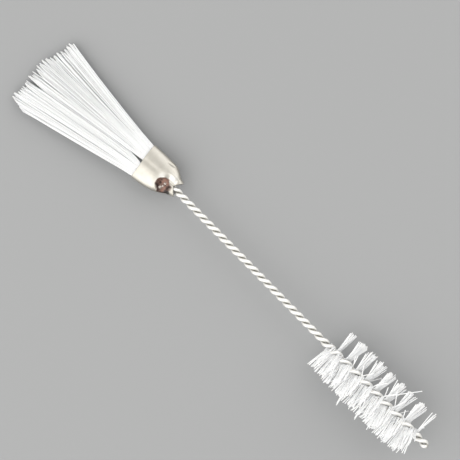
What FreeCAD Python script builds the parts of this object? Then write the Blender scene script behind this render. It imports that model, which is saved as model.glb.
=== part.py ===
"""Double-ended cleaning brush: a flat fan brush and a round tube brush on one twisted wire stem.

The brush is modelled with its stem along X. X = 0 is the outside of the wire's fold at the tube
brush's tip, and the fan brush lies towards -X. The fan is widest along Y. At the end every piece
gets the same laying placement, which sets the brush down on the plane Z = 0, as it lies on a bench:
on the fan's tips and on the inner end of the tube brush. The origin is then the middle of the box
around the brush, at its base.
"""

import FreeCAD
import Part

import math
import os

from FreeCAD import Placement, Rotation, Vector

# Millimetres, except where the name says otherwise. A place along the stem is its distance from the
# wire's fold, and a place in the cap or the fan is its distance from the cap's stem end.
DIMENSIONS = {
    "wire_diameter": 1.25,
    "shaft_leg_radius": 0.64,
    "brush_leg_radius": 0.875,
    "tip_leg_radius": 0.66,
    "fold_leg_radius": 0.85,
    "fold_height": 1.1,
    "shaft_pitch": 6.0,
    "brush_pitch": 9.54,
    "crossing_place": 25.2,
    "cut_end_place": 124.5,
    "brush_inner_end": 46.0,
    "brush_outer_end": 6.0,
    "row_space": 0.06,
    "tube_radius": 8.9,
    "sheet_half_thickness": 0.2,
    "sheet_waist": 1.0,
    "sheet_rim_half_thickness": 2.6,
    "cap_end_place": 117.5,
    "cap_side": 0.6,
    "cap_bend_degrees": 6.13,
    "cap_length": 15.0,
    "cap_wall": 0.4,
    "notch_radius": 2.3,
    "notch_depth": 2.0,
    "dent_side": 1.87,
    "dent_place": 5.03,
    "dent_depth": 0.85,
    "dent_ball_radius": 3.8,
    "resin_start": 2.2,
    "resin_length": 6.7,
    "resin_gap": 0.05,
    "stem_bore_radius": 1.3,
    "stem_bore_depth": 7.6,
    "lock_start": 9.0,
    "lock_space": 0.12,
    "lock_root_half_thickness": 1.4,
    "lock_tip_half_thickness": 2.3,
    "lock_round_share": 0.95,
    "fan_reach": 62.1,
    "fan_crown_side": 1.5,
    "right_crown_radius": 19.0,
    "left_crown_radius": 60.0,
    "right_inner_mouth": 0.44,
    "right_outer_mouth": 5.6,
    "right_inner_spread": -0.098,
    "right_outer_spread": 0.231,
    "left_inner_mouth": 0.85,
    "left_outer_mouth": 5.6,
    "left_inner_spread": 0.071,
    "left_outer_spread": 0.1725,
}

# The cap's outer oval sections: place, half width, half thickness and sideways offset. The shoulder
# towards +Y is the fuller one.
CAP_SECTIONS = {
    "stem_end": (0.0, 2.95, 1.95, 0.0),
    "neck": (1.5, 3.4, 2.1, 0.1),
    "shoulder": (3.0, 4.3, 2.45, 0.35),
    "dome": (4.8, 5.3, 2.75, 0.35),
    "body": (7.5, 6.0, 2.75, 0.1),
    "belly": (11.2, 6.4, 2.5, 0.0),
    "mouth": (15.0, 6.57, 2.3, 0.0),
}
CAP_PASS = 0.4  # how far the cavity runs past both ends of the cap, so that it is open

RIGHT_LOCKS = 5
LEFT_LOCKS = 4
SECTIONS_IN_ROW = 13
POINTS_IN_SPAN = 7
SPAN_LENGTH = 3.0

doc = FreeCAD.newDocument("DoubleEndedBrush")
pieces = {}  # label: (object, its placement on the straight stem)


# ---------------------------------------------------------------- the sheet of sizes

def make_sheet():
    """One row per dimension, then four rows per section of the cap."""
    cells = dict(DIMENSIONS)
    for name, values in CAP_SECTIONS.items():
        for what, value in zip(("place", "width", "thickness", "offset"), values):
            cells[f"cap_{name}_{what}"] = value
    made = doc.addObject("Spreadsheet::Sheet", "Sizes")
    for row, (alias, value) in enumerate(cells.items(), start=1):
        made.set(f"A{row}", alias)
        made.set(f"B{row}", str(value))
        made.setAlias(f"B{row}", alias)
    doc.recompute()
    return made


sheet = make_sheet()


def size(alias):
    return float(sheet.get(alias))


def bind(obj, **expressions):
    """Bind properties to expressions, in which a leading @ stands for the sheet."""
    for name, expression in expressions.items():
        obj.setExpression(name, expression.replace("@", "Sizes."))


def add_piece(label, obj, placement=None):
    obj.Label = label
    pieces[label] = (obj, placement or Placement())


# ---------------------------------------------------------------- the wire stem

def smooth_step(place, start, end):
    share = min(max((place - start) / (end - start), 0.0), 1.0)
    return share * share * (3.0 - 2.0 * share)


def step_area(place, start, end):
    """The integral of smooth_step from far below start up to place."""
    share = min(max((place - start) / (end - start), 0.0), 1.0)
    return (end - start) * (share**3 - 0.5 * share**4) + max(place - end, 0.0)


INNER_BLEND = (-44.0, -39.5)  # along X, where the short pitch of the shaft turns into the long one
OUTER_BLEND = (-7.5, -4.5)  # and back again beside the fold
INNER_OPENING = (-49.0, -46.2)  # where the legs part to hold the filaments
OUTER_CLOSING = (-5.6, -3.8)
FOLD_OPENING = (-3.6, -1.9)


def leg_radius(place):
    """How far each leg's centre is from the stem's axis."""
    shaft = size("shaft_leg_radius")
    brush = size("brush_leg_radius")
    tip = size("tip_leg_radius")
    fold = size("fold_leg_radius")
    radius = shaft + (brush - shaft) * smooth_step(place, *INNER_OPENING)
    radius += (tip - brush) * smooth_step(place, *OUTER_CLOSING)
    return radius + (fold - tip) * smooth_step(place, *FOLD_OPENING)


def leg_angle(place):
    """The first leg's angle about the stem: a left-handed twist, with the legs one above the other
    at the crossing place."""
    shaft_rate = 2.0 * math.pi / size("shaft_pitch")
    brush_rate = 2.0 * math.pi / size("brush_pitch")

    def turned(at):
        slow = step_area(at, *INNER_BLEND) - step_area(at, *OUTER_BLEND)
        return shaft_rate * at + (brush_rate - shaft_rate) * slow

    return math.pi / 2.0 + turned(-size("crossing_place")) - turned(place)


def wire_point(place, sideways):
    angle = leg_angle(place)
    return Vector(place, sideways * math.cos(angle), sideways * math.sin(angle))


def wire_centre(step):
    """The wire's centre line: up to -1 along the first leg, round the fold, and from 1 back along
    the second leg, where a step of 1 on a leg is one millimetre of stem."""
    fold_base = -size("wire_diameter") / 2.0 - size("fold_height")
    if abs(step) > 1.0:
        place = fold_base - (abs(step) - 1.0)
        side = -1.0 if step > 0.0 else 1.0
        return wire_point(place, side * leg_radius(place))
    turn = math.pi / 2.0 * (step + 1.0)
    place = fold_base + size("fold_height") * math.sin(turn)
    return wire_point(place, leg_radius(fold_base) * math.cos(turn))


def wire_tangent(step):
    tiny = 1e-4
    side = math.copysign(1.0, step)
    if abs(abs(step) - 1.0) < tiny:
        step = side * (1.0 + tiny)
    along = wire_centre(step + tiny / 2.0) - wire_centre(step - tiny / 2.0)
    return along.normalize()


def wire_span(first, last):
    """One smooth edge of the centre line."""
    steps = [first + (last - first) * i / (POINTS_IN_SPAN - 1) for i in range(POINTS_IN_SPAN)]
    curve = Part.BSplineCurve()
    curve.interpolate(
        Points=[wire_centre(step) for step in steps],
        InitialTangent=wire_tangent(first),
        FinalTangent=wire_tangent(last),
    )
    return curve.toShape()


def make_wire_stem():
    """One wire folded in half, its two legs twisted together up to their cut ends inside the cap.
    Its pitch changes along the stem, so it is swept here along its own centre line."""
    fold_base = -size("wire_diameter") / 2.0 - size("fold_height")
    leg = 1.0 + size("cut_end_place") + fold_base
    spans = round((leg - 1.0) / SPAN_LENGTH)
    knots = [-leg + (leg - 1.0) * i / spans for i in range(spans)] + [-1.0, -0.5, 0.0]
    knots += [-knot for knot in reversed(knots[:-1])]
    path = Part.Wire([wire_span(a, b) for a, b in zip(knots, knots[1:])])
    circle = Part.Circle(wire_centre(-leg), wire_tangent(-leg), size("wire_diameter") / 2.0)
    shape = path.makePipeShell([Part.Wire(circle.toShape())], True, False)
    expected = path.Length * math.pi * size("wire_diameter") ** 2 / 4.0
    print(f"wire: length {path.Length:.1f}, volume {shape.Volume:.1f}, expected {expected:.1f}")
    stem = doc.addObject("Part::Feature", "WireStem")
    stem.Shape = Part.Solid(shape.Shells[0])
    add_piece("twisted_wire_stem", stem)


# ---------------------------------------------------------------- the tube brush

def filament_section(place):
    """The filament sheet's section across the stem: thin between the legs, wider at the rim."""
    rim = size("tube_radius")
    rim_half = size("sheet_rim_half_thickness")
    half = size("sheet_half_thickness")
    waist = size("sheet_waist")
    quarter = [(rim, rim_half), (waist, half)]
    right = quarter + [(-x, y) for x, y in reversed(quarter)]
    outline = right + [(-x, -y) for x, y in right]
    angle = leg_angle(place) - math.pi / 2.0
    corners = [
        Vector(
            place,
            x * math.cos(angle) - y * math.sin(angle),
            x * math.sin(angle) + y * math.cos(angle),
        )
        for x, y in outline
    ]
    return Part.makePolygon(corners + corners[:1])


def place_at_angle(angle, low, high):
    """Where between low and high the first leg stands at this angle. The angle falls along X."""
    while high - low > 1e-6:
        middle = (low + high) / 2.0
        if leg_angle(middle) > angle:
            low = middle
        else:
            high = middle
    return low


def make_tube_rows():
    """The filaments are caught between the two legs and turn with them, so each half turn of the
    wire holds one row of them, from one place where they stand upright to the next. A row is the
    twisted sheet that its filaments fill."""
    inner = -size("brush_inner_end")
    outer = -size("brush_outer_end")
    first_upright = math.floor(leg_angle(inner) / math.pi)
    last_upright = math.ceil(leg_angle(outer) / math.pi)
    edges = [inner]
    for upright in range(first_upright, last_upright - 1, -1):
        edges.append(place_at_angle(upright * math.pi, inner, outer))
    edges.append(outer)
    print("row edges:", [round(edge, 2) for edge in edges])
    space = size("row_space") / 2.0
    for number, (start, end) in enumerate(zip(edges, edges[1:]), start=1):
        first = start + space
        length = end - start - 2.0 * space
        places = [first + length * i / (SECTIONS_IN_ROW - 1) for i in range(SECTIONS_IN_ROW)]
        row = doc.addObject("Part::Feature", f"TubeRow{number}")
        row.Shape = Part.makeLoft([filament_section(place) for place in places], True, True)
        add_piece(f"tube_row_{number}", row)


# ---------------------------------------------------------------- the cap and what it holds

def cap_placement():
    """The cap's own frame on the stem: X is across the fan towards +Y, and Y is along the cap from
    its stem end to its mouth. The cap is crimped on a little to the side and bent the other way."""
    turn = Rotation(Vector(0, 0, 1), 90.0 + size("cap_bend_degrees"))
    return Placement(Vector(-size("cap_end_place"), size("cap_side"), 0), turn)


def make_loft(name, inset, places):
    """A closed loft through the cap's oval sections, made smaller all round by inset. A place that
    places gives replaces the section's own."""
    ovals = []
    for section in CAP_SECTIONS:
        oval = doc.addObject("Part::Ellipse", f"{name}_{section}")
        bind(
            oval,
            MajorRadius=f"@cap_{section}_width - {inset}",
            MinorRadius=f"@cap_{section}_thickness - {inset}",
        )
        oval.Placement.Rotation = Rotation(Vector(1, 0, 0), 90.0)
        place = places.get(section, f"@cap_{section}_place")
        oval.setExpression("Placement.Base.x", f"Sizes.cap_{section}_offset")
        oval.setExpression("Placement.Base.y", place.replace("@", "Sizes."))
        ovals.append(oval)
    loft = doc.addObject("Part::Loft", name)
    loft.Sections = ovals
    loft.Solid = True
    loft.Ruled = False
    return loft


def make_cut(name, base, tool):
    cut = doc.addObject("Part::Cut", name)
    cut.Base = base
    cut.Tool = tool
    return cut


def make_dent_ball(name, extra):
    """A ball over the crimp dent in the cap's upper face, larger by extra."""
    ball = doc.addObject("Part::Sphere", name)
    bind(ball, Radius=f"@dent_ball_radius + {extra}")
    ball.setExpression("Placement.Base.x", "-Sizes.dent_side")
    ball.setExpression("Placement.Base.y", "Sizes.dent_place")
    reach = "Sizes.cap_dome_thickness * sqrt(1 - pow(Sizes.dent_side / Sizes.cap_dome_width; 2))"
    ball.setExpression("Placement.Base.z", f"{reach} - Sizes.dent_depth + Sizes.dent_ball_radius")
    return ball


def make_cap():
    """Pressed sheet metal: a flattened cone with a wide mouth, a crimp dent and two pointed ears."""
    outside = make_cut("DentedOutside", make_loft("Outside", "0", {}), make_dent_ball("Dent", "0"))
    through = {
        "stem_end": f"@cap_stem_end_place - {CAP_PASS}",
        "mouth": f"@cap_mouth_place + {CAP_PASS}",
    }
    inside = make_cut(
        "DentedInside",
        make_loft("Inside", "@cap_wall", through),
        make_dent_ball("DentBack", "@cap_wall"),
    )
    shell = make_cut("CapShell", outside, inside)
    notch = doc.addObject("Part::Cylinder", "EndNotch")
    bind(notch, Radius="@notch_radius", Height="@cap_length")
    notch.setExpression("Placement.Base.y", "Sizes.notch_depth - Sizes.notch_radius")
    notch.setExpression("Placement.Base.z", "-Sizes.cap_length / 2")
    add_piece("ferrule_cap", make_cut("FerruleCap", shell, notch), cap_placement())


def make_root_resin():
    """The hard block in the cap's neck that locks the wire's cut ends and the bristles' roots."""
    inset = "(@cap_wall + @resin_gap)"
    filling = make_cut(
        "ResinFilling",
        make_loft("Resin", inset, {}),
        make_dent_ball("ResinDent", inset),
    )
    slab = doc.addObject("Part::Box", "ResinSlab")
    bind(slab, Length="@cap_length", Width="@resin_length", Height="@cap_length")
    slab.setExpression("Placement.Base.x", "-Sizes.cap_length / 2")
    slab.setExpression("Placement.Base.y", "Sizes.resin_start")
    slab.setExpression("Placement.Base.z", "-Sizes.cap_length / 2")
    block = doc.addObject("Part::Common", "ResinBlock")
    block.Base = filling
    block.Tool = slab
    bore = doc.addObject("Part::Cylinder", "StemBore")
    bind(bore, Radius="@stem_bore_radius", Height="@stem_bore_depth")
    bore.setExpression("Placement.Base.x", "-Sizes.cap_side * cos(Sizes.cap_bend_degrees * 1 deg)")
    bore.setExpression("Placement.Base.y", "Sizes.cap_side * sin(Sizes.cap_bend_degrees * 1 deg)")
    along = Vector(math.sin(math.radians(size("cap_bend_degrees"))), 1.0, 0.0)
    bore.Placement.Rotation = Rotation(Vector(0, 0, 1), along)
    add_piece("root_resin", make_cut("RootResin", block, bore), cap_placement())


# ---------------------------------------------------------------- the fan brush

def lock_edge(tuft, share):
    """The line of a lock's edge: where it crosses the mouth, and how far it spreads for each
    millimetre beyond it."""
    mouth, spread = (
        f"(@{tuft}_inner_{what} + (@{tuft}_outer_{what} - @{tuft}_inner_{what}) * {share})"
        for what in ("mouth", "spread")
    )
    return mouth, spread


def make_lock(tuft, side, number, count):
    """One lock of straight bristles, from its roots in the cap to its tips."""
    inner = lock_edge(tuft, (number - 1) / count)
    outer = lock_edge(tuft, number / count)
    start = "@lock_start"
    middle = f"({inner[0]} + {outer[0]} + ({inner[1]} + {outer[1]}) * (@fan_reach - @cap_length)) / 2"
    fall = f"pow({middle} * {side} - @fan_crown_side; 2) / (2 * @{tuft}_crown_radius)"
    end = f"(@fan_reach - {fall})"

    def at(edge, place, space):
        return f"({edge[0]} + {edge[1]} * ({place} - @cap_length) + {space})"

    near = [at(inner, place, "@lock_space / 2") for place in (start, end)]
    far = [at(outer, place, "-@lock_space / 2") for place in (start, end)]
    low, high = (near, far) if side > 0 else (far, near)
    rounding = f"sqrt(1 - pow({number / count} * @lock_round_share; 2))"
    root = f"@lock_root_half_thickness * {rounding}"
    lock = doc.addObject("Part::Wedge", f"{tuft}Lock{number}")
    bind(
        lock,
        Ymin=start,
        Ymax=end,
        Xmin=f"{side} * {low[0]}",
        Xmax=f"{side} * {high[0]}",
        X2min=f"{side} * {low[1]}",
        X2max=f"{side} * {high[1]}",
        Zmin=f"-{root}",
        Zmax=root,
        Z2min="-@lock_tip_half_thickness",
        Z2max="@lock_tip_half_thickness",
    )
    add_piece(f"fan_{tuft}_lock_{number}", lock, cap_placement())


def make_fan():
    """Two tufts of bristles side by side in the mouth, each split into locks at its tips."""
    for number in range(1, RIGHT_LOCKS + 1):
        make_lock("right", 1, number, RIGHT_LOCKS)
    for number in range(1, LEFT_LOCKS + 1):
        make_lock("left", -1, number, LEFT_LOCKS)


# ---------------------------------------------------------------- laying the brush down

def place_all(laying):
    for obj, placement in pieces.values():
        obj.Placement = laying.multiply(placement)
    doc.recompute()


def lay_down():
    """Tilt the stem until the fan's tips and the tube brush's inner end are equally low, then put
    the origin under the middle of the brush."""
    rise = size("tube_radius") - size("lock_tip_half_thickness")
    reach = size("cap_end_place") + size("fan_reach") - size("brush_inner_end")
    tilt = Rotation(Vector(0, 1, 0), -math.degrees(math.atan2(rise, reach)))
    place_all(Placement(Vector(), tilt))
    box = FreeCAD.BoundBox()
    for obj, _ in pieces.values():
        box.add(obj.Shape.optimalBoundingBox(False, False))
    place_all(Placement(Vector(-box.Center.x, -box.Center.y, -box.ZMin), tilt))
    print(f"box: {box.XLength:.2f} x {box.YLength:.2f} x {box.ZLength:.2f}")
    print(f"fold at X {-box.Center.x:.2f}, axis offset {-box.Center.y:.2f}, {-box.ZMin:.2f}")


def check_and_export():
    for obj in doc.Objects:
        if "Invalid" in obj.State or "Error" in obj.State:
            raise RuntimeError(f"{obj.Label} failed: {obj.State}")
    for label, (obj, _) in pieces.items():
        if obj.Shape.isNull() or not obj.Shape.isValid() or not obj.Shape.Solids:
            raise RuntimeError(f"{label} has no valid solid")
    os.makedirs("parts", exist_ok=True)
    for label, (obj, _) in pieces.items():
        obj.Shape.exportStep(f"parts/{label}.step")
        print(f"{label}: {len(obj.Shape.Solids)} solid, {obj.Shape.Volume:.2f} mm3")


make_wire_stem()
make_tube_rows()
make_cap()
make_root_resin()
make_fan()
doc.recompute()
lay_down()
check_and_export()
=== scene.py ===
"""The looks of the double-ended cleaning brush: real nylon strands, a pressed cap and plated wire.

Everything is worked out in millimetres in two frames of the design. The stem's frame has X along
the stem, its origin at the outside of the wire's fold, Y across the fan and Z up from it. The cap's
frame has X across the fan, Y from the cap's stem end towards its mouth, and Z up. Both come from the
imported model, and to_row() turns their points into the row's metres.
"""

import math

import bpy
import numpy as np
from mathutils import Matrix


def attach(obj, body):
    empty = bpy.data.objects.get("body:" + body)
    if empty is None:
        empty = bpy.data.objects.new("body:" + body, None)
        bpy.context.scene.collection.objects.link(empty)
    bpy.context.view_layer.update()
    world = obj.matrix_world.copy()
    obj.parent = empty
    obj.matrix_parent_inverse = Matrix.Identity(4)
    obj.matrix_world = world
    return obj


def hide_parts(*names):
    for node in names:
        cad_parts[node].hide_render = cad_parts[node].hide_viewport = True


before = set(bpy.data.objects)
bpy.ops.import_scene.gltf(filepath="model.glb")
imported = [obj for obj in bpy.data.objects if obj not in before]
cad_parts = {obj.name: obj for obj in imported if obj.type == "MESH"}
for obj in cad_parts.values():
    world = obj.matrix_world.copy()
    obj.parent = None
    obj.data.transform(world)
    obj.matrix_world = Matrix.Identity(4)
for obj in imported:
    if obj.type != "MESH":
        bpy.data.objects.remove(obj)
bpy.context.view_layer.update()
MM = 0.001
FLOOR_GAP = 0.00002  # metres between the surface the brush lies on and its lowest strands

# The cap on the stem, in millimetres
CAP_PLACE = 117.5
CAP_SIDE = 0.6
CAP_BEND = math.radians(6.13)
CAP_LENGTH = 15.0
CAP_WALL = 0.4
NOTCH_DEPTH = 2.0
NOTCH_HALF_WIDTH = 2.6
MOUTH_SKEW = 0.3  # how far one side of the mouth is ahead of the middle, and the other behind it

# The fan brush, in the cap's frame
BRISTLE_DIAMETER = 0.28
BRISTLE_PITCH = 0.286
MOUTH_HALF_WIDTH = 6.02
MOUTH_HALF_THICKNESS = 1.66
MOUTH_POWER = 2.2
MOUTH_FIT = 0.995  # draws the bristles in a little at the mouth, off the sheet
ROOT_TAPER = 0.12  # how much closer together they are at their roots
GAP_AT_MOUTH = (-0.98, 0.42)
ROOT_PLACE = 9.0
FAN_REACH = 61.9

# The tube brush, in the stem's frame
FILAMENT_DIAMETER = 0.3
FILAMENT_SPACING = 0.115
TUBE_RADIUS = 8.9  # of the tufts on +Y
SWEPT_RADIUS = 9.2  # of the filaments that use has swept over to -Y


# ---------------------------------------------------------------- the design's two frames

def node_points(node):
    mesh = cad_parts[node].data
    points = np.empty(len(mesh.vertices) * 3)
    mesh.vertices.foreach_get("co", points)
    return points.reshape(-1, 3)


def stem_frame():
    """The stem's frame in the row: its rotation, and its origin at the outside of the wire's fold."""
    points = node_points("twisted_wire_stem")
    centre = points.mean(axis=0)
    spread = (points - centre).T @ (points - centre)
    along = np.linalg.eigh(spread)[1][:, -1]
    along *= np.sign(along[0])
    across = np.array([0.0, 1.0, 0.0])
    up = np.cross(along, across)
    fold = centre + along * ((points - centre) @ along).max()
    return np.column_stack([along, across, up]), fold


STEM_TURN, STEM_ORIGIN = stem_frame()
CAP_TURN = np.array([
    [-math.sin(CAP_BEND), -math.cos(CAP_BEND), 0.0],
    [math.cos(CAP_BEND), -math.sin(CAP_BEND), 0.0],
    [0.0, 0.0, 1.0],
])


def to_row(points):
    """Points of the stem's frame, in millimetres, as points of the row, in metres."""
    return np.asarray(points) * MM @ STEM_TURN.T + STEM_ORIGIN


def from_row(points):
    return (np.asarray(points) - STEM_ORIGIN) @ STEM_TURN / MM


def cap_to_stem(points):
    return np.asarray(points) @ CAP_TURN.T + np.array([-CAP_PLACE, CAP_SIDE, 0.0])


def rest_on_floor(paths, diameter):
    """Strands of the stem's frame lifted so that none is below the surface the brush lies on."""
    points = to_row(paths)
    points[..., 2] = np.maximum(points[..., 2], diameter / 2.0 * MM + FLOOR_GAP)
    return from_row(points)


# ---------------------------------------------------------------- meshes

def add_mesh(name, vertices, faces, material, replaced):
    """A piece in the row frame that rides on the object and stands for CAD nodes."""
    mesh = bpy.data.meshes.new(name)
    mesh.from_pydata(vertices.tolist(), [], faces)
    mesh.materials.append(material)
    piece = bpy.data.objects.new(name, mesh)
    bpy.context.scene.collection.objects.link(piece)
    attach(piece, "root")
    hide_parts(*replaced)
    return piece


def smooth_all(piece):
    polygons = piece.data.polygons
    polygons.foreach_set("use_smooth", np.ones(len(polygons), dtype=bool))


def unit(vectors):
    return vectors / np.linalg.norm(vectors, axis=-1, keepdims=True)


def strand_rings(paths, radius, sides):
    """Rings of points round each path. The rings turn with the path, without twisting."""
    along = unit(np.gradient(paths, axis=1))
    helper = np.where(np.abs(along[:, :1, 2:]) < 0.9, [[[0.0, 0.0, 1.0]]], [[[1.0, 0.0, 0.0]]])
    side = unit(np.cross(helper, along[:, :1]))[:, 0]
    angles = np.arange(sides) * 2.0 * math.pi / sides
    rings = np.empty((*paths.shape[:2], sides, 3))
    for i in range(paths.shape[1]):
        side = unit(side - (side * along[:, i]).sum(-1, keepdims=True) * along[:, i])
        other = np.cross(along[:, i], side)
        wheel = side[:, None] * np.cos(angles)[:, None] + other[:, None] * np.sin(angles)[:, None]
        rings[:, i] = paths[:, i, None] + radius * wheel
    return rings


def add_strands(name, paths, diameter, tones, material, replaced, sides=8):
    """Round strands with square-cut ends as one piece. The colour attribute strand holds each
    strand's tone in red and the share of its length in green."""
    paths = np.asarray(paths)
    count, stations = paths.shape[:2]
    rings = strand_rings(paths, diameter / 2.0, sides)
    vertices = to_row(rings.reshape(-1, 3))
    faces = []
    for strand in range(count):
        first = strand * stations * sides
        for station in range(stations - 1):
            base = first + station * sides
            for side in range(sides):
                turn = (side + 1) % sides
                faces.append((base + side, base + turn, base + sides + turn, base + sides + side))
        last = first + (stations - 1) * sides
        faces.append(tuple(first + side for side in reversed(range(sides))))
        faces.append(tuple(last + side for side in range(sides)))
    piece = add_mesh(name, vertices, faces, material, replaced)
    smooth = np.ones(len(faces), dtype=bool)
    per_strand = (stations - 1) * sides + 2
    smooth[per_strand - 1::per_strand] = False
    smooth[per_strand - 2::per_strand] = False
    piece.data.polygons.foreach_set("use_smooth", smooth)
    colours = piece.data.color_attributes.new("strand", "FLOAT_COLOR", "POINT")
    share = np.broadcast_to(np.linspace(0.0, 1.0, stations)[None, :, None], (count, stations, sides))
    tone = np.broadcast_to(np.asarray(tones)[:, None, None], (count, stations, sides))
    values = np.stack([tone, share, np.zeros_like(tone), np.ones_like(tone)], axis=-1)
    colours.data.foreach_set("color", values.ravel())
    return piece


# ---------------------------------------------------------------- materials

NYLON_SHADED = (0.87, 0.88, 0.89, 1.0)
FAN_NYLON = (0.975, 0.98, 0.985, 1.0)
TUBE_NYLON = (0.97, 0.975, 0.98, 1.0)
# painted shade: the wire's colour in the crevices where the strands meet and shade falls
WIRE_CREVICE_SHADE = (0.42, 0.41, 0.375, 1.0)
WIRE_BRIGHT = (0.93, 0.925, 0.90, 1.0)
RESIN_DARK = (0.035, 0.022, 0.016, 1.0)
RESIN_BROWN = (0.10, 0.055, 0.035, 1.0)


class Nodes:
    """A short way to add and link shader nodes."""

    def __init__(self, name):
        self.material = bpy.data.materials.new(name)
        self.material.use_nodes = True
        self.tree = self.material.node_tree
        self.shader = self.tree.nodes["Principled BSDF"]

    def add(self, kind, inputs=(), **settings):
        node = self.tree.nodes.new(kind)
        for name, value in settings.items():
            setattr(node, name, value)
        for socket, value in dict(inputs).items():
            self.put(node, socket, value)
        return node

    def put(self, node, socket, value):
        if isinstance(value, bpy.types.NodeSocket):
            self.tree.links.new(value, node.inputs[socket])
        else:
            node.inputs[socket].default_value = value

    def set(self, **values):
        """Shader sockets by name, with underscores for the spaces."""
        for name, value in values.items():
            self.put(self.shader, name.replace("_", " "), value)

    def maths(self, operation, *values):
        node = self.add("ShaderNodeMath", operation=operation)
        for i, value in enumerate(values):
            self.put(node, i, value)
        return node.outputs[0]

    def ramp(self, value, low, high, start=0.0, end=1.0):
        """value's range from low to high mapped smoothly to the range from start to end."""
        node = self.add(
            "ShaderNodeMapRange",
            {"Value": value, "From Min": low, "From Max": high, "To Min": start, "To Max": end},
            interpolation_type="SMOOTHSTEP",
        )
        return node.outputs["Result"]

    def mix(self, share, first, second):
        node = self.add("ShaderNodeMix", data_type="RGBA")
        self.put(node, "Factor", share)
        self.put(node, 6, first)
        self.put(node, 7, second)
        return node.outputs[2]

    def noise(self, vector, scale, detail=3.0, roughness=0.55):
        inputs = {"Vector": vector, "Scale": scale, "Detail": detail, "Roughness": roughness}
        return self.add("ShaderNodeTexNoise", inputs).outputs["Fac"]

    def own_frame(self, turn, origin):
        """Object coordinates in millimetres in a frame of the design."""
        place = self.add("ShaderNodeTexCoord").outputs["Object"]
        matrix = Matrix([list(row) for row in turn]).to_4x4()
        euler = matrix.inverted().to_euler()
        moved = self.add("ShaderNodeVectorMath", {0: place, 1: tuple(origin)}, operation="SUBTRACT")
        mapped = self.add(
            "ShaderNodeMapping",
            {"Vector": moved.outputs[0], "Rotation": tuple(euler), "Scale": (1 / MM,) * 3},
        )
        return mapped.outputs[0]

    def stretched(self, vector, scale):
        return self.add("ShaderNodeVectorMath", {0: vector, 1: scale}, operation="MULTIPLY").outputs[0]

    def bump(self, height, distance, strength=1.0):
        inputs = {"Height": height, "Distance": distance, "Strength": strength}
        return self.add("ShaderNodeBump", inputs).outputs["Normal"]


def nylon_material(name, root_shade, tint):
    """Milky white nylon. Each strand has its own tone, and its root end is a little darker."""
    made = Nodes(name)
    colour = made.add("ShaderNodeSeparateColor", {
        "Color": made.add("ShaderNodeAttribute", attribute_name="strand").outputs["Color"],
    })
    along = made.own_frame(STEM_TURN, STEM_ORIGIN)
    cloud = made.noise(along, 0.5)
    tone = made.ramp(colour.outputs["Red"], 0.0, 1.0, 0.75, 1.0)
    patch = made.ramp(cloud, 0.3, 0.7, 0.88, 1.0)
    shade = made.maths("MULTIPLY", tone, patch)
    root = made.ramp(colour.outputs["Green"], 0.0, 0.35, root_shade, 1.0)
    shade = made.maths("MULTIPLY", shade, root)
    base = made.mix(shade, NYLON_SHADED, tint)
    made.set(Base_Color=base, Roughness=made.ramp(cloud, 0.3, 0.7, 0.34, 0.46))
    made.set(IOR=1.53, Subsurface_Weight=0.5, Subsurface_Scale=0.0006)
    made.set(Subsurface_Radius=(1.0, 0.95, 0.9))
    return made.material


def wire_material():
    """Plated steel wire: bright on the strands' crowns, and rougher where they meet, where its colour
    is painted darker as painted shade.
    """
    made = Nodes("plated_wire")
    place = made.own_frame(STEM_TURN, STEM_ORIGIN)
    across = made.stretched(place, (0.0, 1.0, 1.0))
    depth = made.add("ShaderNodeVectorMath", {0: across}, operation="LENGTH").outputs["Value"]
    # painted shade: the colour darkens towards the stem's axis, in the crevices where the strands
    # meet; cloud adds a random tone
    crown = made.ramp(depth, 0.55, 1.0)
    cloud = made.noise(place, 0.9, detail=5.0)
    scratch = made.noise(made.stretched(place, (1.0, 6.0, 6.0)), 2.5, detail=4.0)
    painted_shade_and_tone = made.maths("MULTIPLY", crown, made.ramp(cloud, 0.35, 0.65, 0.8, 1.0))
    base = made.mix(painted_shade_and_tone, WIRE_CREVICE_SHADE, WIRE_BRIGHT)
    grain = made.ramp(scratch, 0.3, 0.7, 0.0, 0.14)
    rough = made.maths("ADD", grain, made.ramp(crown, 0.0, 1.0, 0.5, 0.34))
    made.set(Base_Color=base, Metallic=0.6, Roughness=rough)
    made.set(Normal=made.bump(scratch, 0.00001, 0.5))
    return made.material


def resin_material():
    """Hard dark resin with small bubbles."""
    made = Nodes("brown_resin")
    place = made.own_frame(STEM_TURN, STEM_ORIGIN)
    cloud = made.noise(place, 1.2)
    base = made.mix(made.ramp(cloud, 0.35, 0.65), RESIN_DARK, RESIN_BROWN)
    made.set(Base_Color=base, Roughness=made.ramp(cloud, 0.3, 0.7, 0.25, 0.5))
    made.set(Normal=made.bump(made.noise(place, 4.0), 0.00008, 0.6))
    return made.material


# Marks on the cap's upper face, in the cap's frame
DENT_PLACE = (-1.95, 4.98)
DENT_RADIUS = (2.75, 2.35)
# where the dent's mottled brown colour lies
DENT_MOTTLE_PLACE = (-2.05, 4.7)
DENT_MOTTLE_RADIUS = (2.8, 2.6)
PAINTED_GLINT_PLACES = [((-1.15, 4.6), 0.6), ((-3.1, 5.15), 0.75), ((-2.2, 4.5), 0.5)]  # painted glints in the dent: centre and radius
# painted shade: the dark patch between the dent and the ear, where the sheet bends down into shade
PAINTED_SHADE_PLACE = (-2.95, 2.6)
PAINTED_HIGHLIGHT_PLACES = [((1.8, 3.3), (1.7, 2.3)), ((0.2, 6.9), (1.7, 1.5))]  # painted highlights beside the dent: centre and radii

PLATE_DARK = (0.51, 0.488, 0.435, 1.0)
PLATE_LIGHT = (0.575, 0.555, 0.505, 1.0)
PLATE_STREAK = (0.42, 0.40, 0.36, 1.0)
# painted highlight: the plating's colour at the bright spots beside the dent
PAINTED_HIGHLIGHT_PLATE = (0.73, 0.72, 0.69, 1.0)
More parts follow.
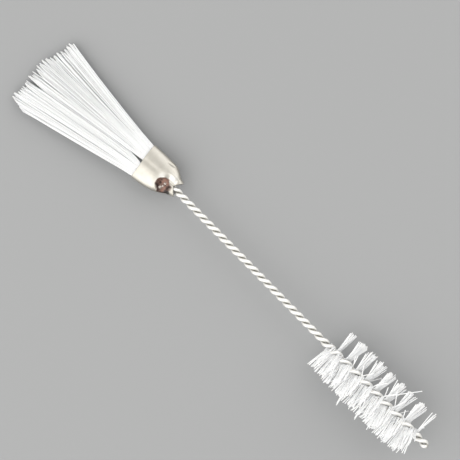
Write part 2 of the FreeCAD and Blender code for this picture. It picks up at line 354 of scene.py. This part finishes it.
# the dent's mottled brown colours
DENT_MOTTLE_DARK = (0.036, 0.026, 0.024, 1.0)
DENT_MOTTLE_BROWN = (0.19, 0.108, 0.085, 1.0)
DENT_MOTTLE_FLECK = (0.21, 0.15, 0.13, 1.0)
# painted glints: the silver colour of the bright spots in the dent
PAINTED_GLINT_SILVER = (0.48, 0.44, 0.40, 1.0)
# painted shade: the colour of the dark patch between the dent and the ear
PAINTED_SHADE_COLOUR = (0.05, 0.046, 0.045, 1.0)


def cap_material():
    """Nickel-plated sheet, smooth but drawn lengthwise, with a mottled brown colour in the crimp dent.
    Painted light: glints painted in the dent, highlights painted beside it, and shade painted between
    the dent and the ear.
    """
    made = Nodes("plated_cap")
    place = made.own_frame(STEM_TURN @ CAP_TURN, to_row([-CAP_PLACE, CAP_SIDE, 0.0]))
    streak = made.noise(made.stretched(place, (7.0, 0.3, 3.0)), 1.0, detail=5.0, roughness=0.6)
    cloud = made.noise(place, 0.3, detail=3.0)
    base = made.mix(made.ramp(cloud, 0.3, 0.7), PLATE_DARK, PLATE_LIGHT)
    base = made.mix(made.ramp(streak, 0.5, 0.75, 0.0, 0.25), base, PLATE_STREAK)
    height = made.add("ShaderNodeSeparateXYZ", {0: place}).outputs["Z"]

    def reach_from(spot, stretch):
        """The distance from a spot of the face, with X and Y each multiplied by their stretch."""
        scale = (stretch[0], stretch[1], 0.0)
        centre = (spot[0] * stretch[0], spot[1] * stretch[1], 0.0)
        inputs = {0: made.stretched(place, scale), 1: centre}
        return made.add("ShaderNodeVectorMath", inputs, operation="DISTANCE").outputs["Value"]

    for spot, radii in PAINTED_HIGHLIGHT_PLACES:  # painted highlights: the plating's colour is painted brighter at these spots, where light reflects
        near = reach_from(spot, [1.0 / radius for radius in radii])
        base = made.mix(made.ramp(near, 0.1, 1.1, 0.8, 0.0), base, PAINTED_HIGHLIGHT_PLATE)
    blotch = made.noise(place, 0.7, detail=3.0, roughness=0.5)
    ragged = made.ramp(made.noise(place, 0.45, detail=1.0), 0.3, 0.7, -0.2, 0.1)
    # the dent's mottled brown colour, with flecks
    from_middle = reach_from(DENT_MOTTLE_PLACE, [1.0 / radius for radius in DENT_MOTTLE_RADIUS])
    in_dent = made.ramp(made.maths("ADD", from_middle, ragged), 0.82, 1.04, 1.0, 0.0)
    in_dent = made.maths("MULTIPLY", in_dent, made.ramp(height, 0.0, 0.4))
    fleck = made.noise(place, 1.6, detail=3.0)
    brown = made.mix(made.ramp(blotch, 0.35, 0.65), DENT_MOTTLE_DARK, DENT_MOTTLE_BROWN)
    dent_mottle = made.mix(made.ramp(fleck, 0.4, 0.75, 0.0, 0.6), brown, DENT_MOTTLE_FLECK)
    # painted glints: silver spots in the dent, where light reflects
    for spot, size in PAINTED_GLINT_PLACES:
        near = made.maths("ADD", reach_from(spot, (1.0, 1.3)), made.ramp(fleck, 0.3, 0.7, -0.3, 0.3))
        dent_mottle = made.mix(made.ramp(near, 0.3 * size, size, 0.9, 0.0), dent_mottle, PAINTED_GLINT_SILVER)
    base = made.mix(in_dent, base, dent_mottle)
    # painted shade: darkens the upper face between the dent and the ear, where the sheet bends down
    # into shade, with ragged edges
    uneven = made.ramp(blotch, 0.3, 0.7, -0.25, 0.25)
    painted_shade_patch = made.maths("ADD", reach_from(PAINTED_SHADE_PLACE, (1.4, 0.75)), uneven)
    painted_shade_patch = made.maths("MULTIPLY", made.ramp(painted_shade_patch, 0.3, 1.4, 0.9, 0.0), made.ramp(height, 0.0, 0.4))
    base = made.mix(painted_shade_patch, base, PAINTED_SHADE_COLOUR)
    rough = made.ramp(streak, 0.3, 0.7, 0.32, 0.42)
    made.set(Base_Color=base, Metallic=1.0, Roughness=rough)
    made.set(Normal=made.bump(streak, 0.00001, 0.3))
    return made.material


# ---------------------------------------------------------------- the wire

WIRE_DIAMETER = 1.25
SHAFT_PITCH = 6.0
BRUSH_PITCH = 9.54
INNER_BLEND = (-44.0, -39.5)  # along X, where the shaft's pitch turns into the tube brush's
OUTER_BLEND = (-7.5, -4.5)
CROSSING_PLACE = -25.2  # where the legs are one above the other
LEG_RADII = (0.64, 0.875, 0.66, 0.85)  # of the shaft, the tube brush, the tip and the fold
LEG_CHANGES = ((-49.0, -46.2), (-5.6, -3.8), (-3.6, -1.9))
FOLD_BASE = -1.725
FOLD_HEIGHT = 1.1
CUT_END_PLACE = -124.5
WIRE_STEP = 0.16
WIRE_SIDES = 28
FOLD_STATIONS = 25


def eased(place, start, end):
    """0 up to start, 1 beyond end, and a smooth step between them."""
    share = np.clip((place - start) / (end - start), 0.0, 1.0)
    return share * share * (3.0 - 2.0 * share)


def eased_area(place, start, end):
    """The integral of eased from far below start up to place."""
    share = np.clip((place - start) / (end - start), 0.0, 1.0)
    return (end - start) * (share**3 - 0.5 * share**4) + np.maximum(place - end, 0.0)


def turned(place):
    """The angle that the twist has turned through between the fold and a place of the stem."""
    shaft = 2.0 * math.pi / SHAFT_PITCH
    brush = 2.0 * math.pi / BRUSH_PITCH
    in_brush = eased_area(place, *INNER_BLEND) - eased_area(place, *OUTER_BLEND)
    return shaft * place + (brush - shaft) * in_brush


def leg_radius(place):
    """How far each leg's middle is from the stem's axis."""
    radius = LEG_RADII[0]
    for before, after, change in zip(LEG_RADII, LEG_RADII[1:], LEG_CHANGES):
        radius = radius + (after - before) * eased(place, *change)
    return radius


def wire_points(place, sideways):
    """Points sideways from the stem's axis along the line through both legs, which is a left-handed
    twist."""
    angle = math.pi / 2.0 + turned(CROSSING_PLACE) - turned(place)
    return np.stack([place, sideways * np.cos(angle), sideways * np.sin(angle)], axis=-1)


def make_wire(material):
    """One wire: up the first leg, round the fold and back along the second leg."""
    leg = np.arange(CUT_END_PLACE, FOLD_BASE, WIRE_STEP)
    turn = np.linspace(0.0, math.pi, FOLD_STATIONS)
    fold = wire_points(FOLD_BASE + FOLD_HEIGHT * np.sin(turn), leg_radius(FOLD_BASE) * np.cos(turn))
    there = wire_points(leg, leg_radius(leg))
    back = wire_points(leg[::-1], -leg_radius(leg[::-1]))
    path = np.concatenate([there, fold, back])
    add_strands(
        "folded_wire", path[None], WIRE_DIAMETER, np.array([0.5]),
        material, ["twisted_wire_stem"], WIRE_SIDES,
    )


# ---------------------------------------------------------------- the cap

# Oval sections of the cap: place, half width, half thickness and sideways offset
CAP_SECTIONS = np.array([
    (0.0, 2.95, 1.95, 0.0),
    (1.5, 3.4, 2.1, 0.1),
    (3.0, 4.3, 2.45, 0.35),
    (4.8, 5.3, 2.75, 0.35),
    (7.5, 6.0, 2.75, 0.1),
    (11.2, 6.4, 2.5, 0.0),
    (15.0, 6.57, 2.3, 0.0),
])
CAP_ROWS = 110
CAP_SIDES = 224
SECTION_POWER = 0.92  # a little squarer than an ellipse, which is 1
DENT_DEPTH = 0.85
DENT_POWER = 0.8
UNDER_DENT_DEPTH = 0.5
WIDE_HOLLOW = ((-0.6, 6.8), (3.4, 2.9))
SHOULDER_CREASE = ((5.05, 6.9), (0.5, 1.8))
FACET_DEPTH = 1.8  # the deepest that the facet can press the sheet in
LIP_ANGLES = np.radians([30.0, 60.0, 90.0, 120.0, 150.0])


def smooth_curve(places, values, at):
    """A smooth curve through values, by Catmull-Rom slopes."""
    slopes = np.gradient(values, places)
    i = np.clip(np.searchsorted(places, at) - 1, 0, len(places) - 2)
    width = places[i + 1] - places[i]
    share = (at - places[i]) / width
    keep = 2 * share**3 - 3 * share**2 + 1
    rise = share**3 - 2 * share**2 + share
    leave = share**3 - share**2
    ends = keep * values[i] + (1 - keep) * values[i + 1]
    return ends + width * (rise * slopes[i] + leave * slopes[i + 1])


def bowl(x, y, place, radius, power):
    """1 in the middle of an oval dent, falling to 0 at its rim."""
    reach = np.hypot((x - place[0]) / radius[0], (y - place[1]) / radius[1])
    return np.clip(1.0 - reach**2, 0.0, 1.0) ** power


def ridge(distance, width):
    """1 on a line, falling smoothly to 0 on both sides of it."""
    return np.exp(-((distance / width) ** 2))


def pressed_depth(x, y):
    """How deep the upper face is pressed in at each point of the cap's frame."""
    from_dent = np.hypot((x - DENT_PLACE[0]) / DENT_RADIUS[0], (y - DENT_PLACE[1]) / DENT_RADIUS[1])
    flat = 1.12 - 0.32 * x - 0.06 * (x - 0.35) ** 2  # it faces the dent
    facet = 0.5 * np.minimum(flat + np.sqrt(flat**2 + 0.01), FACET_DEPTH)
    facet = facet * eased(x, -0.6, 0.4) * eased(y, 0.4, 2.4) * (1.0 - eased(y, 4.4, 6.4))
    depth = np.maximum(DENT_DEPTH * bowl(x, y, DENT_PLACE, DENT_RADIUS, DENT_POWER), facet)
    depth += 0.22 * bowl(x, y, *WIDE_HOLLOW, 1.5)
    depth -= 0.06 * ridge(from_dent - 1.0, 0.2)
    depth += 0.09 * ridge(x - 0.6, 0.9) * np.clip((y - 7.5) / 3.0, 0.0, 1.0)
    depth += 0.2 * bowl(x, y, *SHOULDER_CREASE, 1.0)
    return depth


def cap_surface(share, angle):
    """The cap's outer surface, for a share of its length from the stem end and an angle round it."""
    from_middle = np.abs(np.cos(angle)) * CAP_SECTIONS[0, 1]
    notch = NOTCH_DEPTH * np.clip(1.0 - from_middle / NOTCH_HALF_WIDTH, 0.0, 1.0)
    mouth = CAP_LENGTH + MOUTH_SKEW * np.tanh(2.0 * np.cos(angle))
    y = notch + (mouth - notch) * share
    places, *measures = CAP_SECTIONS.T
    at = np.clip(y, 0.0, CAP_LENGTH)
    width, thickness, offset = (smooth_curve(places, measure, at) for measure in measures)
    x = offset + width * np.sign(np.cos(angle)) * np.abs(np.cos(angle)) ** SECTION_POWER
    z = thickness * np.sign(np.sin(angle)) * np.abs(np.sin(angle)) ** SECTION_POWER
    top = np.clip(np.sin(angle) * 2.5, 0.0, 1.0)
    under = np.clip(-np.sin(angle) * 2.5, 0.0, 1.0)
    z = z - top * pressed_depth(x, y)
    z = z + under * UNDER_DENT_DEPTH * bowl(x, y, DENT_PLACE, DENT_RADIUS, DENT_POWER)
    return np.stack([x, y, z], axis=-1)


def cap_skin(shares):
    """Rings of points on the cap's outer surface, the steps from ring to ring, and the outward
    normals."""
    angles = np.arange(CAP_SIDES) * 2.0 * math.pi / CAP_SIDES
    share, angle = np.meshgrid(shares, angles, indexing="ij")
    skin = cap_surface(share, angle)
    down = np.gradient(skin, axis=0)
    round_it = (np.roll(skin, -1, axis=1) - np.roll(skin, 1, axis=1)) / 2.0
    return skin, down, unit(np.cross(down, round_it))


def make_cap(material):
    """Both faces of the sheet, joined by a rounded lip at the mouth and at the stem end."""
    shares = 0.5 - 0.5 * np.cos(np.linspace(0.0, math.pi, CAP_ROWS))
    outside, down, outward = cap_skin(shares)
    inside = outside - CAP_WALL * outward
    middle = (outside + inside) / 2.0

    def lip(row, forward):
        ahead = unit(down[row]) * forward
        half = CAP_WALL / 2.0
        return [
            middle[row] + half * (math.cos(a) * outward[row] + 0.6 * math.sin(a) * ahead)
            for a in LIP_ANGLES
        ]

    loops = list(outside) + lip(-1, 1.0) + list(inside[::-1]) + lip(0, -1.0)[::-1]
    vertices = to_row(cap_to_stem(np.concatenate(loops)))
    faces = []
    for loop in range(len(loops)):
        here = loop * CAP_SIDES
        there = (loop + 1) % len(loops) * CAP_SIDES
        for side in range(CAP_SIDES):
            turn = (side + 1) % CAP_SIDES
            faces.append((here + side, there + side, there + turn, here + turn))
    smooth_all(add_mesh("pressed_cap", vertices, faces, material, ["ferrule_cap"]))


FILLING = (2.6, 8.8)  # where the resin starts and ends along the cap
FILLING_ROWS = 24
FILLING_GAP = 0.36  # between the resin and the inside of the sheet


def make_filling(material):
    """The resin in the cap's neck, just clear of the sheet and its dent all round."""
    skin, _, outward = cap_skin(np.linspace(*FILLING, FILLING_ROWS) / CAP_LENGTH)
    skin = skin - (CAP_WALL + FILLING_GAP) * outward
    sunk = ((0, 0.3), (-1, -0.3))  # each end's middle is sunk in by this much
    ends = [skin[row].mean(axis=0) + np.array([0.0, step, 0.0]) for row, step in sunk]
    vertices = to_row(cap_to_stem(np.concatenate([skin.reshape(-1, 3), ends])))
    faces = []
    last = (FILLING_ROWS - 1) * CAP_SIDES
    for side in range(CAP_SIDES):
        turn = (side + 1) % CAP_SIDES
        for here in range(0, last, CAP_SIDES):
            there = here + CAP_SIDES
            faces.append((here + side, there + side, there + turn, here + turn))
        faces.append((side, turn, len(vertices) - 2))
        faces.append((last + turn, last + side, len(vertices) - 1))
    smooth_all(add_mesh("cap_filling", vertices, faces, material, ["root_resin"]))


# ---------------------------------------------------------------- the fan brush

RIGHT_LOCKS = 5
LEFT_LOCKS = 4
FAN_STATIONS = 18
RIGHT_TIPS = (-2.8, 15.45)  # where a tuft's tips lie across the fan, from its inner to its outer edge
LEFT_TIPS = (-2.2, -12.6)
TIP_OUTLINE = np.array([  # how far the tips reach, across the whole fan
    (-12.7, 56.0),
    (-10.9, 62.2),
    (-6.5, 61.9),
    (-3.1, 62.3),
    (-0.9, 61.9),
    (1.65, 62.6),
    (4.6, 62.0),
    (7.5, 60.9),
    (11.3, 59.2),
    (15.5, 58.4),
])
SLITS = [  # where the tips part, how deep, and how wide
    (-3.25, 8.0, 0.75),
    (0.2, 3.6, 0.4),
    (7.5, 2.8, 0.35),
    (-5.7, 2.0, 0.3),
    (-0.5, 1.8, 0.3),
]
SLIT_REACH = 0.9  # how far from a slit the tips still give way to it
CLUMP_WIDTH = (0.7, 1.5)
CLUMP_GATHER = 0.3  # how much a clump draws its tips together, over its last few millimetres
CLUMP_END = 3.5
STEADY_SIDE = -11.2  # the left tuft's tips beyond this stay in line
INNER_SHARE = 0.4  # the share of a tuft that counts as its inner bristles
LEAN_UNDER = 11.0  # how strongly the left tuft's inner bristles lean under the right tuft
TUFT_LIFT = 0.4  # how far the right tuft's inner bristles lie above the left tuft's
BOW_SPREAD = 0.14
FAN_DROOP = 0.45  # how far its own weight lowers the tips
FAN_FLARE = 0.2  # how much the right tuft curves outward


def mouth_points():
    """Where the bristles pass the cap's mouth: closely packed, with a gap between the tufts."""
    points = []
    rise = BRISTLE_PITCH * math.sqrt(3.0) / 2.0
    rows = int(MOUTH_HALF_THICKNESS / rise)
    columns = int(MOUTH_HALF_WIDTH / BRISTLE_PITCH) + 1
    for row in range(-rows, rows + 1):
        for column in range(-columns, columns + 1):
            x = (column + 0.5 * (row % 2)) * BRISTLE_PITCH
            z = row * rise
            across = abs(x / MOUTH_HALF_WIDTH) ** MOUTH_POWER
            reach = across + abs(z / MOUTH_HALF_THICKNESS) ** MOUTH_POWER
            if reach <= 1.0 and not GAP_AT_MOUTH[0] < x < GAP_AT_MOUTH[1]:
                points.append((x, z))
    return np.array(points)


def clump_tips(tip_x, rng):
    """Each tip's offset from the middle of its clump as a share of the clump's half width, that half
    width, and how much further its clump reaches."""
    low, high = tip_x.min(), tip_x.max()
    edges = [low - 0.01]
    while edges[-1] < high:
        edges.append(edges[-1] + rng.uniform(*CLUMP_WIDTH))
    edges = np.array(edges)
    clump = np.searchsorted(edges, tip_x) - 1
    half = (edges[clump + 1] - edges[clump]) / 2.0
    middle = edges[clump] + half
    longer = rng.normal(0.0, 0.3, len(edges))[clump]
    return (tip_x - middle) / half, half, longer


def fan_paths(mouth, tips, tuft, rng):
    """Bristles of one tuft from its inner edge to its outer edge, and each one's rank from 0 to 1."""
    order = np.argsort(np.abs(mouth[:, 0]) + rng.normal(0.0, 0.1, len(mouth)))
    mouth = mouth[order]
    count = len(mouth)
    rank = (np.arange(count) + 0.5) / count
    tip_x = tips[0] + (tips[1] - tips[0]) * rank + rng.normal(0.0, 0.07, count)
    offset, half, longer = clump_tips(tip_x, rng)
    loose = np.clip((tip_x - STEADY_SIDE) / 0.6, 0.0, 1.0)
    offset = offset * loose
    reach = np.interp(tip_x, TIP_OUTLINE[:, 0], TIP_OUTLINE[:, 1]) + longer * loose
    reach -= 1.2 * np.abs(offset) ** 1.4 + rng.gamma(1.1, 0.25, count) * (0.4 + 0.6 * loose)
    share = np.linspace(0.0, 1.0, FAN_STATIONS)[None, :]
    y = ROOT_PLACE + (reach - ROOT_PLACE)[:, None] * share
    inside = np.clip((CAP_LENGTH - y) / (CAP_LENGTH - ROOT_PLACE), 0.0, 1.0)
    out = np.clip((y - CAP_LENGTH) / (reach - CAP_LENGTH)[:, None], 0.0, 1.0)
    flare = out + FAN_FLARE * (tip_x[:, None] > 0.0) * out * (out - 1.0)
    x = mouth[:, :1] * (MOUTH_FIT - ROOT_TAPER * inside) + (tip_x[:, None] - mouth[:, :1]) * flare
    x = x + rng.normal(0.0, BOW_SPREAD, count)[:, None] * np.sin(math.pi * out)
    side = 1.0 if tuft == "right" else -1.0
    inner = np.clip(1.0 - rank / INNER_SHARE, 0.0, 1.0)[:, None]
    if tuft == "left":
        x = x + LEAN_UNDER * inner * out * (1.0 - out) ** 3
    near_tip = np.clip(1.0 - (reach[:, None] - y) / CLUMP_END, 0.0, 1.0)
    x = x - CLUMP_GATHER * (offset * half)[:, None] * near_tip**1.5
    for place, depth, width in SLITS:
        beyond = np.clip((y - (FAN_REACH - depth)) / depth, 0.0, 1.1)
        away = (tip_x - place)[:, None]
        x = x + np.sign(away) * width * beyond * np.exp(-((away / SLIT_REACH) ** 2))
    tip_z = mouth[:, 1] + rng.normal(0.0, 0.12, count)
    lift = side * TUFT_LIFT * inner * np.clip(out * 3.0, 0.0, 1.0) - FAN_DROOP * out**2
    z = mouth[:, 1:] + (tip_z - mouth[:, 1])[:, None] * out + lift
    return np.stack([x, y, z], axis=-1), rank


def make_fan(material):
    mouth = mouth_points()
    tufts = {
        "right": (mouth[mouth[:, 0] > 0.0], RIGHT_TIPS, RIGHT_LOCKS),
        "left": (mouth[mouth[:, 0] < 0.0], LEFT_TIPS, LEFT_LOCKS),
    }
    for seed, (tuft, (points, tips, count)) in enumerate(tufts.items(), start=11):
        rng = np.random.default_rng(seed)
        paths, rank = fan_paths(points, tips, tuft, rng)
        lock = np.minimum((rank * count).astype(int), count - 1) + 1
        paths = rest_on_floor(cap_to_stem(paths), BRISTLE_DIAMETER)
        tones = rng.beta(3.0, 1.6, len(paths))
        for number in range(1, count + 1):
            chosen = lock == number
            add_strands(
                f"bristles_{tuft}_{number}", paths[chosen], BRISTLE_DIAMETER, tones[chosen],
                material, [f"fan_{tuft}_lock_{number}"],
            )


# ---------------------------------------------------------------- the tube brush

TUBE_ROWS = 10
TUFT_TURN = math.radians(48.0)  # within this angle of +Y, the filaments stay in the tuft on that side
# The swept filaments' first angle from +Y, in degrees, and the power by which the rest follow
TOP_SWEEP = (100.0, 0.38)
UNDER_SWEEP = (93.0, 0.8)
LAY_LEAN = 0.3  # how the wire's lay leans the filaments that leave it on top
TUFT_SHIFTS = (0.0, 0.6, 1.1, 1.0, 0.6, 0.2, 0.4, -0.2, 0.1, 0.4)
CROSSING_ROWS = range(4, TUBE_ROWS)  # where some filaments cross the gap between two tufts
CROSSING_SHARE = 0.35
CROSSING_LEAN = (0.2, 0.7)
CROSSING_LENGTH = (0.6, 1.0)
INNER_END = (-46.0, 4.0)  # where the tube brush starts, and over what length its filaments settle
OUTER_END = (-12.0, 6.0)  # where its filaments start to fan out, and over what length
ANGLE_SPREAD = 0.07
LEAN_SPREAD = 0.07
LENGTH_SPREAD = 0.035
SHIFT_SPREAD = 0.4
CURL_SPREAD = 0.03
STRAIGHT_START = (0.7, 0.8)  # a filament's straight start, and how much longer it is on top
BEND_LENGTH = 2.2
SHIFT_LENGTH = 1.6
HALF_PLACES = np.array([  # shares of a half's length, closest together where it bends
    0.0, 0.5, 0.9, 1.3, 1.7, 2.2, 2.8, 3.6, 4.6, 5.8, 7.2, TUBE_RADIUS,
]) / TUBE_RADIUS
STRAY_OTHER_HALF = 7.5
# Filaments that stick out: the piece that holds them, and each one's side, place, lean and length
STRAYS = {
    3: [
        (-1, -33.7, 0.28, 12.0),
        (-1, -33.2, 0.24, 12.8),
        (-1, -32.9, 0.2, 13.4),
        (-1, -32.5, 0.14, 12.9),
    ],
    5: [(-1, -25.4, 0.22, 10.6), (-1, -25.0, 0.2, 11.0)],
    7: [(-1, -20.3, 0.26, 10.6)],
    6: [(1, -22.3, 0.74, 15.6)],
    10: [(1, -6.4, 0.55, 4.0)],
}


def row_points(number):
    return from_row(node_points(f"tube_row_{number}"))


def sheet_angle(points, place):
    """The direction of the filaments at a place of a row, read from the row's own solid: the angle
    of its outermost points there."""
    near = points[np.abs(points[:, 0] - place) < 0.35]
    doubled = 2.0 * np.arctan2(near[:, 2], near[:, 1])
    weight = np.hypot(near[:, 1], near[:, 2]) ** 4
    return 0.5 * math.atan2((weight * np.sin(doubled)).sum(), (weight * np.cos(doubled)).sum())


def laid_angle(angle, kept):
    """The final angle of a filament that the wire sends out at this angle from +Y. Use has swept all
    but the tuft on +Y over to -Y, and those on top the furthest."""
    turn = abs(angle)
    if turn < kept:
        return 0.5 * angle
    share = (turn - kept) / (math.pi - kept)
    start, power = TOP_SWEEP if angle > 0.0 else UNDER_SWEEP
    swept = start + (180.0 - start) * share**power
    return math.copysign(math.radians(swept), angle)


def half_strand(place, first, last, lean, shift, length, curl):
    """One half of a filament from a place of the stem: straight between the wire's legs, then bending
    over to its own direction. The legs shift it a little along the stem as it leaves them."""
    reach = HALF_PLACES * length
    straight = STRAIGHT_START[0] + STRAIGHT_START[1] * max(math.sin(first), 0.0) ** 2
    bent = np.clip((reach - straight) / BEND_LENGTH, 0.0, 1.0)[:, None]
    bent = bent * bent * (3.0 - 2.0 * bent)
    angles = np.array([[0.0, math.cos(a), math.sin(a)] for a in (first, last)])
    headings = angles[0] * (1.0 - bent) + angles[1] * bent
    headings[:, 0] = lean * bent[:, 0]
    headings = unit(headings) + curl * (reach[:, None] / length)
    steps = np.diff(reach)[:, None] * (headings[1:] + headings[:-1]) / 2.0
    start = np.array([place, 0.0, 0.0])
    path = start + np.concatenate([np.zeros((1, 3)), np.cumsum(steps, axis=0)])
    path[:, 0] += shift * np.clip(reach / SHIFT_LENGTH, 0.0, 1.0)
    return path


def filament_half(number, out, place, middle, kept, rng):
    """One half of a filament of a row, which the wire sends out at this angle from +Y."""
    last = laid_angle(out, kept)
    can_cross = number in CROSSING_ROWS and kept < abs(out) < 1.15
    crossing = can_cross and rng.random() < CROSSING_SHARE
    if crossing:  # leans along the stem, across the gap between two tufts
        last = 0.6 * out
    last += rng.normal(0.0, ANGLE_SPREAD)
    on_tuft = abs(last) < math.pi / 2.0
    length = (TUBE_RADIUS if on_tuft else SWEPT_RADIUS) * (1.0 + rng.normal(0.0, LENGTH_SPREAD))
    shift = 0.0
    if crossing:
        lean = rng.choice([-1.0, 1.0]) * rng.uniform(*CROSSING_LEAN)
        length *= rng.uniform(*CROSSING_LENGTH)
    elif on_tuft:
        from_middle = (place - middle) * (number < TUBE_ROWS)
        shift = TUFT_SHIFTS[number - 1] - 0.3 * from_middle
        lean = 0.1 * from_middle + rng.normal(0.0, LEAN_SPREAD)
    else:
        end = max(0.0, (place - OUTER_END[0]) / OUTER_END[1]) ** 2 * rng.random()
        settled = min(max((place - INNER_END[0]) / INNER_END[1], 0.0), 1.0)
        lay = LAY_LEAN * settled * max(math.sin(out), -0.3)
        lean = lay + 0.05 * (place - middle) + rng.normal(0.0, LEAN_SPREAD) + 0.6 * end
        lean -= 0.08 * (1.0 - settled)
        lean *= abs(math.cos(last))
        shift = rng.normal(0.0, SHIFT_SPREAD) * max(math.sin(out), 0.0)
        length *= 1.0 - 0.35 * end
    return half_strand(place, out, last, lean, shift, length, rng.normal(0.0, CURL_SPREAD, 3))


def stray_halves(side, place, lean, length):
    """Both halves of a stray, which leaves the wire between its legs."""
    turn = 0.0 if side > 0 else math.pi
    between = turned(CROSSING_PLACE) - turned(place)
    if math.cos(between) * side < 0.0:
        between += math.pi
    return (
        half_strand(place, between, turn, lean, 0.0, length, np.zeros(3)),
        half_strand(place, between + math.pi, turn + math.pi, 0.0, 0.0, STRAY_OTHER_HALF, np.zeros(3)),
    )


def make_tube_row(number, material):
    """Filaments side by side through the twist, each one turned a little further round."""
    rng = np.random.default_rng(40 + number)
    points = row_points(number)
    low, high = points[:, 0].min(), points[:, 0].max()
    middle = (low + high) / 2.0
    count = max(4, round((high - low) / FILAMENT_SPACING))
    kept = {1: 0.0, TUBE_ROWS: 0.5 * TUFT_TURN}.get(number, TUFT_TURN)
    strands = []
    for i in range(count):
        place = low + (high - low) * (i + 0.5) / count + rng.normal(0.0, 0.03)
        angle = sheet_angle(points, min(max(place, low + 0.1), high - 0.1)) + rng.normal(0.0, 0.06)
        opposite = angle - math.copysign(math.pi, angle)
        strands.append([
            filament_half(number, out, place, middle, kept, rng) for out in (angle, opposite)
        ])
    strands += [stray_halves(*stray) for stray in STRAYS.get(number, [])]
    paths = [np.concatenate([one[::-1], other[1:]]) for one, other in strands]
    paths = rest_on_floor(np.array(paths), FILAMENT_DIAMETER)
    add_strands(
        f"filaments_{number}", paths, FILAMENT_DIAMETER, rng.beta(3.0, 1.6, len(paths)),
        material, [f"tube_row_{number}"],
    )


# ---------------------------------------------------------------- the set

def make_floor():
    bpy.ops.mesh.primitive_plane_add(size=3.0, location=(0.0, 0.0, 0.0))
    floor = bpy.context.object
    floor.name = "floor"
    made = Nodes("floor")
    made.set(Base_Color=(0.31, 0.315, 0.32, 1.0), Roughness=0.75)
    floor.data.materials.append(made.material)


def add_area(name, place, size, power, colour):
    """A round soft light that faces the brush."""
    light = bpy.data.lights.new(name, "AREA")
    light.shape = "DISK"
    light.size = size
    light.energy = power
    light.color = colour
    lamp = bpy.data.objects.new(name, light)
    lamp.visible_camera = False
    bpy.context.scene.collection.objects.link(lamp)
    lamp.location = place
    lamp.rotation_euler = lamp.location.to_track_quat("Z", "Y").to_euler()


def make_lights():
    add_area("key", (-0.2, -0.75, 0.9), 1.7, 9.5, (1.0, 0.99, 0.97))
    add_area("fill", (0.1, 0.8, 0.6), 1.2, 3.0, (1.0, 0.99, 0.98))
    world = bpy.data.worlds.new("studio")
    bpy.context.scene.world = world
    world.use_nodes = True
    background = world.node_tree.nodes["Background"]
    background.inputs["Color"].default_value = (1.0, 0.99, 0.97, 1.0)
    background.inputs["Strength"].default_value = 0.95


CAMERA_HEIGHT = 0.8
VIEW_WIDTH = 0.1513
VIEW_TURN = math.radians(45.6)
VIEW_CENTRE = (-96.1, 3.55, 0.0)


def make_camera():
    """Straight above the brush, with the stem running down to the right."""
    camera = bpy.data.cameras.new("camera")
    camera.sensor_width = 36.0
    camera.lens = camera.sensor_width * CAMERA_HEIGHT / VIEW_WIDTH
    camera.clip_start = 0.01
    eye = bpy.data.objects.new("camera", camera)
    bpy.context.scene.collection.objects.link(eye)
    aim = to_row(VIEW_CENTRE)
    eye.location = (aim[0], aim[1], aim[2] + CAMERA_HEIGHT)
    eye.rotation_euler = (0.0, 0.0, VIEW_TURN)
    bpy.context.scene.camera = eye


make_camera()
make_floor()
make_lights()
make_wire(wire_material())
make_cap(cap_material())
make_filling(resin_material())
make_fan(nylon_material("fan_nylon", 0.9, FAN_NYLON))
tube_nylon = nylon_material("tube_nylon", 1.0, TUBE_NYLON)
for row in range(1, TUBE_ROWS + 1):
    make_tube_row(row, tube_nylon)
bpy.context.scene.view_settings.view_transform = "Standard"
